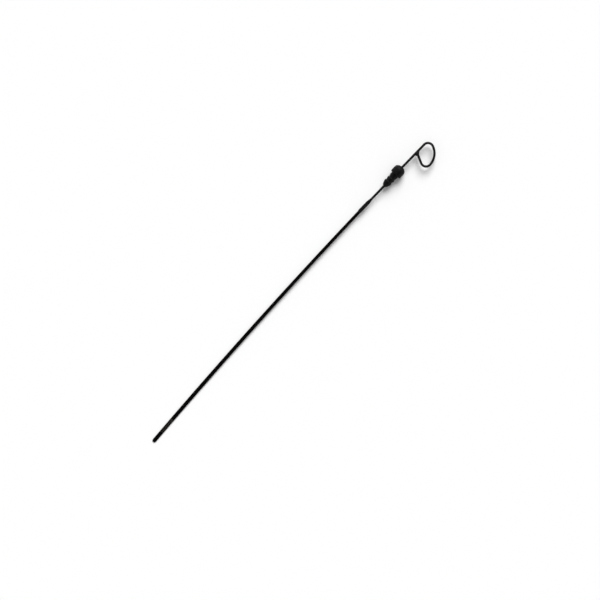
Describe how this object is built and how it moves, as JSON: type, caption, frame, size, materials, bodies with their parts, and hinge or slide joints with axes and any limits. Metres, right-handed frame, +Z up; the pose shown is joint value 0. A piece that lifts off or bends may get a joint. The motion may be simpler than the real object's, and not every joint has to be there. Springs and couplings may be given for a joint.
{
  "type": "engine oil dipstick",
  "caption": "Long flat spring-steel blade spot-welded to a wire handle with a closed finger loop, with a domed rubber stopper whose lipped plug closes the dipstick tube.",
  "frame": {"origin": "on the floor, under the centre of the lying stick's bounding box", "axes": "+X along the stick from the blade's tip towards the finger loop, +Y away from the side the loop is bent to, +Z up from the floor the stick lies on"},
  "size_m": [0.6126, 0.0382, 0.0182],
  "materials": {
    "black_wire": "black phosphated drawn steel wire, satin",
    "rubber": "matt moulded black rubber",
    "blade_steel": "blackened rolled spring steel, satin"
  },
  "bodies": {
    "root": {"handle_wire": "black_wire", "stopper": "rubber", "blade": "blade_steel"}
  },
  "joints": []
}
